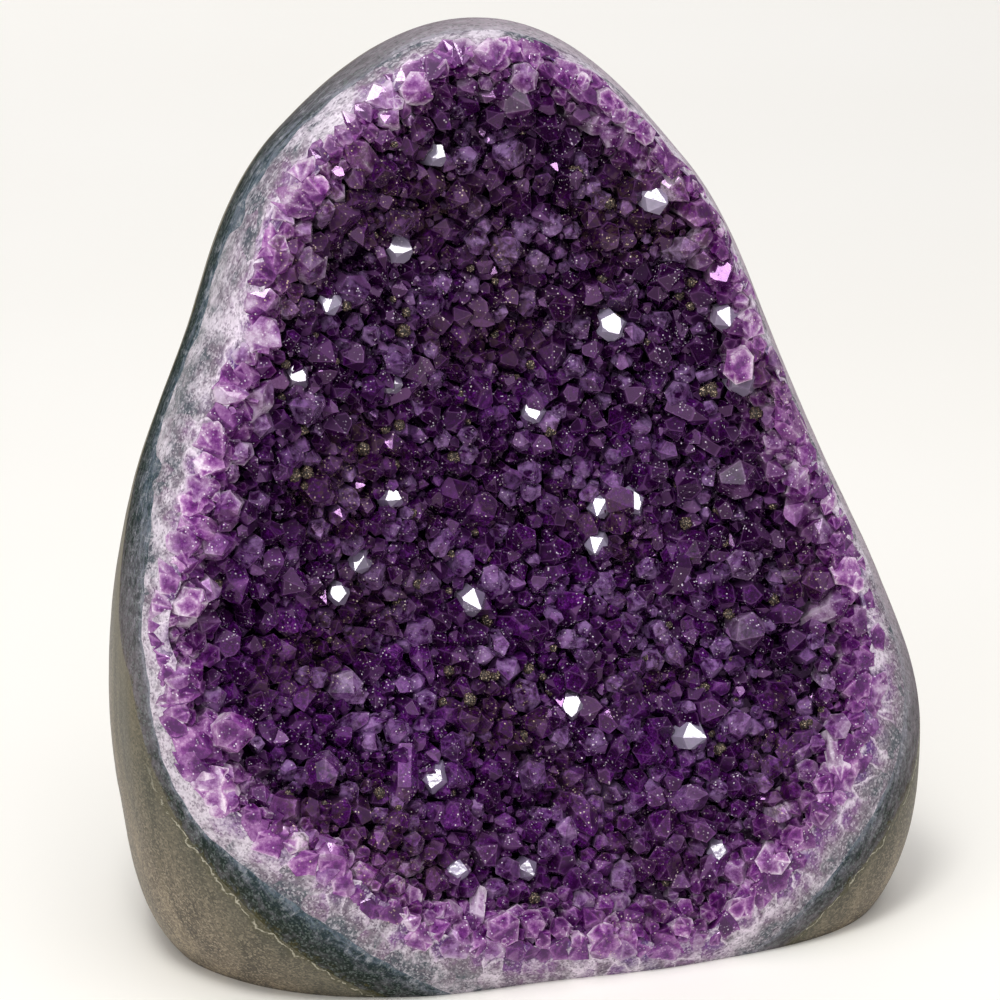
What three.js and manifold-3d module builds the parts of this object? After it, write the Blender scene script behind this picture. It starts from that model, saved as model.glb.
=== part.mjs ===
// Amethyst geode with a sawn, flat base: basalt rind, agate band, quartz bed and a crystal druse.
// Units are millimetres, +Z is up, and the crystal face looks towards -Y and leans back.

import * as THREE from 'three';
import { mergeVertices } from 'three/addons/utils/BufferGeometryUtils.js';
import Module from 'manifold-3d';

const wasm = await Module();
wasm.setup();

// ---------------------------------------------------------------- driving dimensions

// The crystal face: a plane that leans back from upright, with its own centre.
const LEAN_DEG = 12;
const FACE_CENTRE = [-0.8, -15.3, 44];

// The stone as it was ground: a flattened dome in front and a deep rounded back.
const FRONT_BULGE = 10;
const FRONT_ROUNDNESS = 3;
const BACK_DEPTH = 48;
const BACK_TILT = 8;
const BACK_ROUNDNESS = 2.4;

const FRONT_SHARES = [0.45, 0.7, 0.82, 0.9, 0.96, 0.99];
const BACK_STEPS = [0, 0.18, 0.34, 0.5, 0.64, 0.77, 0.88, 0.96];
const DROP_SHARPNESS = 10;

// Distances from the face's centre, one every 22.5 degrees, from the right-hand side over the top.
const OUTLINE = [45.6, 42.2, 46.3, 59.3, 72.8, 66.6, 54, 50.2, 50.2, 53.4, 59.2, 55.1, 49.7, 54, 64, 55.8];
const EDGE_DROP = [0, 0, 0, 0, 0, 0, 0, 0, 2, 8, 17, 13, 6, 4.5, 10, 4];
const RIND_WIDTH = [0.6, 0.3, 0.3, 0.1, -0.3, -1.2, -2.2, -2, -0.3, 3.1, 9.2, 4.4, -3, -1, 10.3, 1.2];
const AGATE_WIDTH = [1.4, 1, 1, 1.1, 1.6, 1.4, 2, 2.1, 1.5, 1.5, 4.6, 3.8, 2, 3, 3, 4.2];
const QUARTZ_WIDTH = [3, 2, 2.2, 1.8, 2.8, 4.8, 5.6, 4.6, 3.4, 4.8, 6.5, 7, 11.2, 7.5, 7.3, 7.2];
const COLUMNS = 60;

// How deep the three nested bowls go behind the face, and how square their sides are.
const AGATE_BOWL_DEPTH = 30;
const QUARTZ_BOWL_DEPTH = 25;
const BOWL_ROUNDNESS = 2.2;
const BOWL_STEPS = [0, 0.22, 0.42, 0.6, 0.76, 0.89, 0.97];
const OPEN_DEPTH = -40;

// The hollow: a step at the rim, then a shallow bowl that carries the crust of crystals.
const RIM_STEP = 5;
const HOLLOW_DEPTH = 9;
const SCALLOP = 0.8;
const SCALLOP_COUNT = 21;
const HOLLOW_COLUMNS = 126;
const HOLLOW_SHARES = [1, 0.8, 0.55, 0.28];

// The crust: a field of points with uneven heights and places, solid down to ROOT_DEPTH.
const CRUST = 4;
const POINT_SPACING = 4;
const POINT_HEIGHT = 2.4;
const POINT_TURN = 0.4;
const POINT_COLUMNS = 34;
const POINT_ROWS = 42;
const MIDDLE_ROW = 19.3;
const TIP_STRAY = 2.8;
const VALLEY_STRAY = 1.3;
const VALLEY_RISE = 0.9;
const ROOT_DEPTH = 70;

// Air left between neighbouring pieces.
const GAP = 0.3;

// The larger crystals: x and height on the face, width, tilt, direction of tilt and spin in degrees.
const BIG_CRYSTALS = [
  [-8.5, 57.5, 3.4, 14, 200, 10],
  [1.5, 62.5, 5.4, 8, 80, 0],
  [-13, 46, 3.2, 18, 160, 25],
  [-23, 40.5, 2.8, 12, 170, 5],
  [-27.5, 32, 2.8, 16, 150, 40],
  [-14.5, 30.5, 3.4, 20, 220, 12],
  [-16, 16.5, 3, 14, 260, 33],
  [-20, 8.5, 3, 22, 190, 8],
  [-23.5, 4.5, 3.2, 12, 120, 18],
  [-23, -7, 4.4, 18, 150, 30],
  [12.5, 34, 3.6, 15, 20, 0],
  [10, 12, 3.4, 18, 330, 20],
  [14.6, 11.2, 3, 16, 60, 45],
  [9.6, 7.6, 3, 20, 300, 10],
  [27, 14, 5.6, 8, 20, 15],
  [21.5, 6.5, 4.2, 12, 350, 40],
  [27, 3.5, 5, 10, 340, 5],
  [27.5, -5, 5.2, 8, 0, 25],
  [27.5, 26, 3.6, 16, 30, 10],
  [26, 33.5, 2.8, 18, 50, 0],
  [-12.5, -29, 3, 20, 250, 22],
  [-3.5, -30.5, 3, 16, 280, 44],
  [20.5, -31, 3.2, 18, 300, 12],
  [33, 1.5, 3, 14, 350, 35],
  [-28.5, -15.5, 5.4, 8, 200, 20],
  [-25.5, 45.5, 4.6, 12, 150, 0],
  [3, 24, 4, 10, 90, 28],
  [-6, 2, 4, 12, 210, 50],
  [5, -12, 4.2, 10, 270, 16],
  [19, -17, 3.8, 14, 330, 38],
  [-14, -18, 4, 12, 230, 6],
  [18, 49, 3.6, 16, 40, 22],
];
const TIP_SLOPE = 1.1;
const SHOULDER_ABOVE_CRUST = 3;
const ROOT_BELOW_CRUST = 1.8;

// ---------------------------------------------------------------- the face's own frame

const LEAN = THREE.MathUtils.degToRad(LEAN_DEG);
const CENTRE = new THREE.Vector3(...FACE_CENTRE);
const ACROSS = new THREE.Vector3(1, 0, 0);
const UPWARD = new THREE.Vector3(0, Math.sin(LEAN), Math.cos(LEAN));
const INWARD = new THREE.Vector3(0, Math.cos(LEAN), -Math.sin(LEAN));

function facePoint(x, up, depth) {
  return CENTRE.clone()
    .addScaledVector(ACROSS, x)
    .addScaledVector(UPWARD, up)
    .addScaledVector(INWARD, depth);
}

// A repeatable number from 0 to 1 for a pair of whole numbers.
function scatter(i, j) {
  const value = Math.sin(i * 127.1 + j * 311.7) * 43758.5453;
  return value - Math.floor(value);
}

// Smooth closed curve through evenly spaced values around a full turn.
function around(values, angle) {
  const count = values.length;
  const turn = ((angle / (2 * Math.PI)) % 1 + 1) % 1;
  const place = turn * count;
  const start = Math.floor(place);
  const t = place - start;
  const [a, b, c, d] = [-1, 0, 1, 2].map((step) => values[(start + step + count) % count]);
  const bend = 2 * a - 5 * b + 4 * c - d + t * (3 * (b - c) + d - a);
  return b + 0.5 * t * (c - a + t * bend);
}

function outlineRadius(angle) {
  return around(OUTLINE, angle);
}

function agateRadius(angle) {
  return outlineRadius(angle) - around(RIND_WIDTH, angle);
}

function quartzRadius(angle) {
  return agateRadius(angle) - around(AGATE_WIDTH, angle);
}

function hollowRadius(angle) {
  const notch = Math.abs(Math.sin(angle * SCALLOP_COUNT + 1.3 * Math.sin(angle * 5)));
  return quartzRadius(angle) - around(QUARTZ_WIDTH, angle) + SCALLOP * notch;
}

// Depth of the polished front surface at a share of the outline's radius (negative is forward).
function frontDepth(share, angle) {
  const inside = Math.min(Math.abs(share), 1);
  const dome = FRONT_BULGE * (1 - inside ** FRONT_ROUNDNESS) ** (1 / FRONT_ROUNDNESS);
  return around(EDGE_DROP, angle) * inside ** DROP_SHARPNESS - dome;
}

// Depth of the back at a share of the outline's radius: it is deepest low down, where the stone stands.
function backDepth(share, angle) {
  return BACK_DEPTH - BACK_TILT * share * Math.sin(angle);
}

// Depth of the hollow's floor under a point on the face.
function hollowDepth(x, up) {
  const angle = Math.atan2(up, x);
  const edge = hollowRadius(angle);
  const share = Math.min(Math.hypot(x, up) / edge, 1);
  const rim = frontDepth(edge / outlineRadius(angle), angle);
  return rim + RIM_STEP + HOLLOW_DEPTH * (1 - share ** BOWL_ROUNDNESS);
}

// ---------------------------------------------------------------- solids

function solidFromTriangles(positions) {
  let geometry = new THREE.BufferGeometry();
  geometry.setAttribute('position', new THREE.Float32BufferAttribute(positions, 3));
  geometry = mergeVertices(geometry, 1e-5);
  const corners = Uint32Array.from(geometry.index.array);
  const vertices = Float32Array.from(geometry.attributes.position.array);
  const mesh = new wasm.Mesh({ numProp: 3, vertProperties: vertices, triVerts: corners });
  return new wasm.Manifold(mesh);
}

// A closed skin over rings of points that start and end in a single point.
// Seen from the first point, the rings run anticlockwise.
function skinRings(first, rings, last) {
  const positions = [];
  const put = (...points) => points.forEach((p) => positions.push(p.x, p.y, p.z));
  const count = rings[0].length;
  for (let k = 0; k < count; k += 1) {
    const next = (k + 1) % count;
    put(first, rings[0][k], rings[0][next]);
    for (let row = 0; row + 1 < rings.length; row += 1) {
      const [near, far] = [rings[row], rings[row + 1]];
      put(near[k], far[k], far[next]);
      put(near[k], far[next], near[next]);
    }
    put(last, rings[rings.length - 1][next], rings[rings.length - 1][k]);
  }
  return solidFromTriangles(positions);
}

function ring(count, pointAt) {
  return Array.from({ length: count }, (_, k) => pointAt((k / count) * 2 * Math.PI));
}

// The whole stone before its layers are told apart.
function groundStone() {
  const rings = [];
  for (const share of FRONT_SHARES) {
    rings.push(ring(COLUMNS, (a) => {
      const r = outlineRadius(a) * share;
      return facePoint(r * Math.cos(a), r * Math.sin(a), frontDepth(share, a));
    }));
  }
  for (const step of BACK_STEPS) {
    const share = (1 - step ** BACK_ROUNDNESS) ** (1 / BACK_ROUNDNESS);
    rings.push(ring(COLUMNS, (a) => {
      const r = outlineRadius(a) * share;
      const edge = around(EDGE_DROP, a);
      return facePoint(r * Math.cos(a), r * Math.sin(a), edge + (backDepth(share, a) - edge) * step);
    }));
  }
  const front = facePoint(0, 0, frontDepth(0, 0));
  const back = facePoint(0, 0, BACK_DEPTH);
  return skinRings(front, rings, back);
}

// One nested bowl, open far out in front of the stone.
function bowl(radiusAt, depth, shrink) {
  const straight = ring(COLUMNS, (a) => {
    const r = radiusAt(a) - shrink;
    return facePoint(r * Math.cos(a), r * Math.sin(a), OPEN_DEPTH);
  });
  const rings = [straight];
  for (const step of BOWL_STEPS) {
    const share = (1 - step ** BOWL_ROUNDNESS) ** (1 / BOWL_ROUNDNESS);
    rings.push(ring(COLUMNS, (a) => {
      const r = (radiusAt(a) - shrink) * share;
      return facePoint(r * Math.cos(a), r * Math.sin(a), (depth - shrink) * step);
    }));
  }
  return skinRings(facePoint(0, 0, OPEN_DEPTH), rings, facePoint(0, 0, depth - shrink));
}

// The space in front of the hollow's floor.
function hollow(shrink) {
  const rings = [];
  rings.push(ring(HOLLOW_COLUMNS, (a) => {
    const r = hollowRadius(a) - shrink;
    return facePoint(r * Math.cos(a), r * Math.sin(a), OPEN_DEPTH);
  }));
  for (const share of HOLLOW_SHARES) {
    rings.push(ring(HOLLOW_COLUMNS, (a) => {
      const r = (hollowRadius(a) - shrink) * share;
      const [x, up] = [r * Math.cos(a), r * Math.sin(a)];
      return facePoint(x, up, hollowDepth(x, up) - shrink);
    }));
  }
  return skinRings(facePoint(0, 0, OPEN_DEPTH), rings, facePoint(0, 0, hollowDepth(0, 0) - shrink));
}

// Everything behind a field of six-sided points that stand on the hollow's floor.
function fieldOfPoints() {
  const positions = [];
  const put = (...points) => points.forEach((p) => positions.push(p.x, p.y, p.z));
  const rowHeight = POINT_SPACING * Math.sqrt(3) / 2;
  const place = (i, j, dx, dy, wobble) => {
    const along = (i - POINT_COLUMNS / 2 + (j % 2) / 2 + dx) * POINT_SPACING;
    const across = (j - MIDDLE_ROW + dy) * rowHeight;
    const stray = [scatter(i * 3 + dx * 9, j * 5) - 0.5, scatter(i * 7, j * 2 + dy * 9) - 0.5];
    const x = along * Math.cos(POINT_TURN) - across * Math.sin(POINT_TURN) + stray[0] * wobble;
    const up = along * Math.sin(POINT_TURN) + across * Math.cos(POINT_TURN) + stray[1] * wobble;
    return [x, up];
  };
  const tip = (i, j) => {
    const [x, up] = place(i, j, 0, 0, TIP_STRAY);
    const rise = CRUST + POINT_HEIGHT * (0.45 + 0.75 * scatter(i, j));
    return facePoint(x, up, hollowDepth(x, up) - rise);
  };
  const low = (i, j, side) => {
    const shift = side === 'up' ? [0.5, 1 / 3] : [0.5, -1 / 3];
    const [x, up] = place(i, j, shift[0], shift[1], VALLEY_STRAY);
    const rise = CRUST - VALLEY_RISE * scatter(i + 31, j * 2 + shift[1] * 3);
    return facePoint(x, up, hollowDepth(x, up) - rise);
  };
  const border = new Map();
  const addTriangle = (a, b, c) => {
    put(a, b, c);
    for (const [from, to] of [[a, b], [b, c], [c, a]]) {
      const key = (p) => `${p.x.toFixed(5)},${p.y.toFixed(5)},${p.z.toFixed(5)}`;
      const back = `${key(to)}|${key(from)}`;
      if (border.has(back)) border.delete(back);
      else border.set(`${key(from)}|${key(to)}`, [from, to]);
    }
  };
  for (let j = 1; j < POINT_ROWS; j += 1) {
    for (let i = 1; i < POINT_COLUMNS; i += 1) {
      const odd = j % 2;
      const hexagon = [
        low(i, j, 'up'),
        low(i - 1 + odd, j + 1, 'down'),
        low(i - 1, j, 'up'),
        low(i - 1, j, 'down'),
        low(i - 1 + odd, j - 1, 'up'),
        low(i, j, 'down'),
      ];
      const top = tip(i, j);
      hexagon.forEach((corner, k) => addTriangle(top, corner, hexagon[(k + 1) % 6]));
    }
  }
  const pit = facePoint(0, 0, ROOT_DEPTH);
  for (const [from, to] of border.values()) {
    const sink = (p) => p.clone().addScaledVector(INWARD, ROOT_DEPTH - 20);
    put(to, from, sink(from));
    put(to, sink(from), sink(to));
    put(sink(to), sink(from), pit);
  }
  return solidFromTriangles(positions);
}

// One six-sided prism that ends in a six-sided point; grow makes its socket.
function crystal([x, up, width, tilt, tiltTowards, spin], grow) {
  const radius = width / 2 + grow;
  const depth = hollowDepth(x, up) - CRUST;
  const root = facePoint(x, up, depth + ROOT_BELOW_CRUST + grow);
  const lean = THREE.MathUtils.degToRad(tilt);
  const towards = THREE.MathUtils.degToRad(tiltTowards);
  const sideways = ACROSS.clone().multiplyScalar(Math.cos(towards))
    .addScaledVector(UPWARD, Math.sin(towards));
  const axis = INWARD.clone().multiplyScalar(-Math.cos(lean))
    .addScaledVector(sideways, Math.sin(lean));
  const right = new THREE.Vector3().crossVectors(UPWARD, axis).normalize();
  const forward = new THREE.Vector3().crossVectors(axis, right);
  const hexagonAt = (height) => Array.from({ length: 6 }, (_, k) => {
    const angle = THREE.MathUtils.degToRad(spin + k * 60);
    return root.clone()
      .addScaledVector(axis, height)
      .addScaledVector(right, radius * Math.cos(angle))
      .addScaledVector(forward, radius * Math.sin(angle));
  });
  const shoulder = ROOT_BELOW_CRUST + SHOULDER_ABOVE_CRUST + grow;
  const point = root.clone().addScaledVector(axis, shoulder + radius * TIP_SLOPE + grow);
  return skinRings(point, [hexagonAt(shoulder), hexagonAt(0)], root);
}

// ---------------------------------------------------------------- build

function solidBox(x0, y0, z0, x1, y1, z1) {
  const box = new THREE.BoxGeometry(x1 - x0, y1 - y0, z1 - z0);
  box.translate((x0 + x1) / 2, (y0 + y1) / 2, (z0 + z1) / 2);
  return solidFromTriangles(box.toNonIndexed().attributes.position.array);
}

function namedMesh(name, solid, colour, roughness) {
  const { vertProperties, triVerts } = solid.getMesh();
  const geometry = new THREE.BufferGeometry();
  geometry.setAttribute('position', new THREE.BufferAttribute(vertProperties, 3));
  geometry.setIndex(new THREE.BufferAttribute(triVerts, 1));
  const material = new THREE.MeshStandardMaterial({ color: colour, roughness, metalness: 0 });
  const mesh = new THREE.Mesh(geometry, material);
  mesh.name = name;
  return mesh;
}

const aboveGround = solidBox(-100, -100, 0, 100, 100, 200);
const stone = groundStone().intersect(aboveGround);
const rind = stone.subtract(bowl(agateRadius, AGATE_BOWL_DEPTH, 0));
const agate = stone.intersect(bowl(agateRadius, AGATE_BOWL_DEPTH, GAP))
  .subtract(bowl(quartzRadius, QUARTZ_BOWL_DEPTH, 0));
const quartz = stone.intersect(bowl(quartzRadius, QUARTZ_BOWL_DEPTH, GAP))
  .subtract(hollow(0));
let druse = fieldOfPoints().intersect(hollow(GAP)).intersect(aboveGround);

const part = new THREE.Group();
part.name = 'amethyst_geode';
part.add(namedMesh('basalt_rind', rind, 0x6d695c, 0.5));
part.add(namedMesh('agate_band', agate, 0x4f5f5f, 0.25));
part.add(namedMesh('quartz_bed', quartz, 0xcdbfd6, 0.3));
BIG_CRYSTALS.forEach((sizes, index) => {
  const name = `crystal_${String(index + 1).padStart(2, '0')}`;
  druse = druse.subtract(crystal(sizes, GAP));
  part.add(namedMesh(name, crystal(sizes, 0), 0x6a3a9a, 0.12));
});
part.add(namedMesh('druse_crust', druse, 0x4b2173, 0.15));

export default part;
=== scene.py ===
import math
import random

import bmesh
import bpy
import numpy as np
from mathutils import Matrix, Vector, noise


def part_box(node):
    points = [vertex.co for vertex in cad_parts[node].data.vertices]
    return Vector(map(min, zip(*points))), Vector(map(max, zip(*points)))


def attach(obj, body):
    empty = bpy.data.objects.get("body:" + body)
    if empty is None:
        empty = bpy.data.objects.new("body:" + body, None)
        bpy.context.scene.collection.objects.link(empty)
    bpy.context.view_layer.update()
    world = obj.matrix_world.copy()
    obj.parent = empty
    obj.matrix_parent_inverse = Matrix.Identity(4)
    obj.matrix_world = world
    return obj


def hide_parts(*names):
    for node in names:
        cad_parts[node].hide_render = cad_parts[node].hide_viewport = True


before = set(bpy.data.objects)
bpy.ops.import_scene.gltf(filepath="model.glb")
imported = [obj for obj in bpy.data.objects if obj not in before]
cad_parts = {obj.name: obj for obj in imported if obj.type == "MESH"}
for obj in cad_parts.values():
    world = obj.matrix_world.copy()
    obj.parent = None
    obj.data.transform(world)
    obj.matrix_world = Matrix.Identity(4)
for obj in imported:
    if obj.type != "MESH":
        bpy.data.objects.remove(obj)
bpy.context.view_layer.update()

MM = 0.001

# ---------------------------------------- the basalt rind
# The rind is the volcanic rock that the bubble formed in: grey-brown, dense, finely speckled.
# The stone is sawn across its base and ground on a belt to one smooth egg-shaped outline,
# which cuts through the rock and the mineral shells inside it.

LEAN = math.radians(12)
FACE_CENTRE = np.array([-0.8, -15.3, 44.0])
ACROSS = np.array([1.0, 0.0, 0.0])
UPWARD = np.array([0.0, math.sin(LEAN), math.cos(LEAN)])
INWARD = np.array([0.0, math.cos(LEAN), -math.sin(LEAN)])

# Distances in millimetres, from the right-hand side over the top, every sixteenth of a turn:
# from the middle of the crystal face to the outline, how far the outline lies behind the face's
# plane, and from the outline in to the agate.
OUTLINE = [45.6, 42.2, 46.3, 59.3, 72.8, 66.6, 54, 50.2, 50.2, 53.4, 59.2, 55.1, 49.7, 54, 64, 55.8]
EDGE_DROP = [0, 0, 0, 0, 0, 0, 0, 0, 2, 8, 17, 13, 6, 4.5, 10, 4]
RIND_WIDTH = [0.6, 0.3, 0.3, 0.1, -0.3, -1.2, -2.2, -2, -0.3, 3.1, 9.2, 4.4, -3, -1, 10.3, 1.2]
FRONT_BULGE, FRONT_ROUNDNESS, DROP_SHARPNESS = 10, 3, 10
BACK_DEPTH, BACK_TILT, BACK_ROUNDNESS = 48, 8, 2.4
AGATE_BOWL_DEPTH, BOWL_ROUNDNESS = 30, 2.2
OPEN_FRONT = -40.0
COLUMNS = 480


def around(values, angle):
    """A smooth closed curve through evenly spaced values."""
    values = np.asarray(values, float)
    place = (np.asarray(angle) / (2 * math.pi)) % 1.0 * len(values)
    start = np.floor(place).astype(int)
    t = place - start
    a, b, c, d = (values[(start + step) % len(values)] for step in (-1, 0, 1, 2))
    bend = 2 * a - 5 * b + 4 * c - d + t * (3 * (b - c) + d - a)
    return b + 0.5 * t * (c - a + t * bend)


def waves(angle, size, seed):
    """A small natural unevenness round a border."""
    turns = random.Random(seed)
    total = 0
    for count in (5, 9, 14, 23, 37, 58, 83):
        total = total + np.sin(angle * count + turns.uniform(0, 6.3)) * turns.uniform(0.4, 1) / count ** 0.5
    return total * size


def from_face(x, up, depth):
    """Millimetres on the leaning face to millimetres in the part's frame."""
    x, up, depth = np.broadcast_arrays(x, up, depth)
    return FACE_CENTRE + x[..., None] * ACROSS + up[..., None] * UPWARD + depth[..., None] * INWARD


def to_face(points):
    offset = points - FACE_CENTRE
    return offset @ ACROSS, offset @ UPWARD, offset @ INWARD


def ring(radius, angle, depth):
    """Points round the middle of the face."""
    return from_face(radius * np.cos(angle), radius * np.sin(angle), depth)


def outline_radius(angle):
    return around(OUTLINE, angle)


def shoulder(share, roundness):
    """What is left of a rounded form's height at a share of its width, or the other way round."""
    return (1 - share ** roundness) ** (1 / roundness)


def front_depth(share, angle):
    """Depth of the polished front at a share of the outline's radius; towards the viewer is negative."""
    inside = np.minimum(np.abs(share), 1)
    dome = FRONT_BULGE * shoulder(inside, FRONT_ROUNDNESS)
    return around(EDGE_DROP, angle) * inside ** DROP_SHARPNESS - dome


def agate_radius(angle):
    return outline_radius(angle) - around(RIND_WIDTH, angle) + waves(angle, 0.16, 3)


def into_scene(name, data):
    made = bpy.data.objects.new(name, data)
    bpy.context.scene.collection.objects.link(made)
    return made


def skin(name, first, rings, last):
    """A closed mesh over rings of points, in millimetres, between two single points."""
    rows, count = rings.shape[:2]
    points = np.vstack([first[None], rings.reshape(-1, 3), last[None]]) * MM
    end = len(points) - 1
    faces = []
    for k in range(count):
        n = (k + 1) % count
        faces.append((0, 1 + k, 1 + n))
        for row in range(rows - 1):
            near, far = 1 + row * count, 1 + (row + 1) * count
            faces.append((near + k, far + k, far + n, near + n))
        faces.append((end, end - count + n, end - count + k))
    mesh = bpy.data.meshes.new(name)
    mesh.from_pydata(points.tolist(), [], faces)
    return into_scene(name, mesh)


def carve(piece, tool, operation):
    """Cuts or keeps what the tool covers, for good."""
    cut = piece.modifiers.new("carve", "BOOLEAN")
    cut.operation = operation
    cut.solver = "MANIFOLD"
    cut.object = tool
    shaped = piece.evaluated_get(bpy.context.evaluated_depsgraph_get())
    mesh = bpy.data.meshes.new_from_object(shaped)
    mesh.materials.clear()
    piece.modifiers.clear()
    piece.data = mesh


def soften(piece, angle=0.55):
    """Smooth shading that stops at the sawn and broken edges."""
    form = bmesh.new()
    form.from_mesh(piece.data)
    for face in form.faces:
        face.smooth = True
    for edge in form.edges:
        edge.smooth = len(edge.link_faces) == 2 and edge.calc_face_angle() < angle
    form.to_mesh(piece.data)
    form.free()


def all_round(count=COLUMNS):
    return np.linspace(0, 2 * math.pi, count, endpoint=False)


def ground_stone():
    """The whole stone: a flattened dome in front and a deep rounded back."""
    angles = all_round()
    outline = outline_radius(angles) + waves(angles, 0.05, 11)
    shares = np.concatenate([np.linspace(0.3, 0.7, 4), np.linspace(0.73, 0.97, 26),
                             [0.98, 0.988, 0.995, 0.999]])
    rings = [ring(outline * share, angles, front_depth(share, angles)) for share in shares]
    edge = around(EDGE_DROP, angles)
    for step in np.sin(np.linspace(0, 0.999, 48) * math.pi / 2):
        share = shoulder(step, BACK_ROUNDNESS)
        back = BACK_DEPTH - BACK_TILT * share * np.sin(angles)
        rings.append(ring(outline * share, angles, edge + (back - edge) * step))
    front = from_face(0.0, 0.0, front_depth(0.0, 0.0))
    behind = from_face(0.0, 0.0, float(BACK_DEPTH))
    return skin("ground_stone", front, np.array(rings), behind)


def bowl(name, radius_at, depth):
    """One nested shell, open far out in front of the stone."""
    angles = all_round()
    radius = radius_at(angles)
    rings = [ring(radius, angles, OPEN_FRONT)]
    for step in np.sin(np.linspace(0, 0.98, 26) * math.pi / 2):
        rings.append(ring(radius * shoulder(step, BOWL_ROUNDNESS), angles, depth * step))
    return skin(name, from_face(0.0, 0.0, OPEN_FRONT), np.array(rings), from_face(0.0, 0.0, float(depth)))


def narrowing(depth, bowl_depth):
    """How much a bowl has closed in at a depth behind the face."""
    return shoulder(np.clip(depth / bowl_depth, 0, 0.97), BOWL_ROUNDNESS)


# A usual radius, so that the way round a shell reads in millimetres too.
GIRTH = 50


def record_strata(piece, outer, inner, outer_depth, inner_depth):
    """Tells the stone's materials where they are: across a shell, and round it and inward.

    Beyond the end of the bowl, rock gets further and further from the shell.
    """
    count = len(piece.data.vertices)
    points = np.empty(count * 3)
    piece.data.vertices.foreach_get("co", points)
    x, up, depth = to_face(points.reshape(-1, 3) / MM)
    angle, distance = np.arctan2(up, x), np.hypot(x, up)
    outside = outer(angle) * narrowing(depth, outer_depth)
    inside = inner(angle) * narrowing(depth, inner_depth)
    across = np.clip((outside - distance) / np.maximum(outside - inside, 0.3), 0, 1.5)
    beyond = 1.5 * np.maximum(depth - 0.9 * outer_depth, 0)
    strata = np.stack([GIRTH * np.cos(angle), GIRTH * np.sin(angle), outside - distance - beyond], 1)
    piece.data.attributes.new("across_band", "FLOAT", "POINT").data.foreach_set("value", across)
    layer = piece.data.attributes.new("strata", "FLOAT_VECTOR", "POINT")
    layer.data.foreach_set("vector", strata.ravel())


def paint(code):
    """A colour as a painter writes it, turned into light values."""
    parts = [int(code[i:i + 2], 16) / 255 for i in (1, 3, 5)]
    return tuple(p / 12.92 if p <= 0.04045 else ((p + 0.055) / 1.055) ** 2.4 for p in parts) + (1.0,)


# Turns metres behind the face into millimetres of strata, a little shortened.
DEEPER = -800.0


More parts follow.
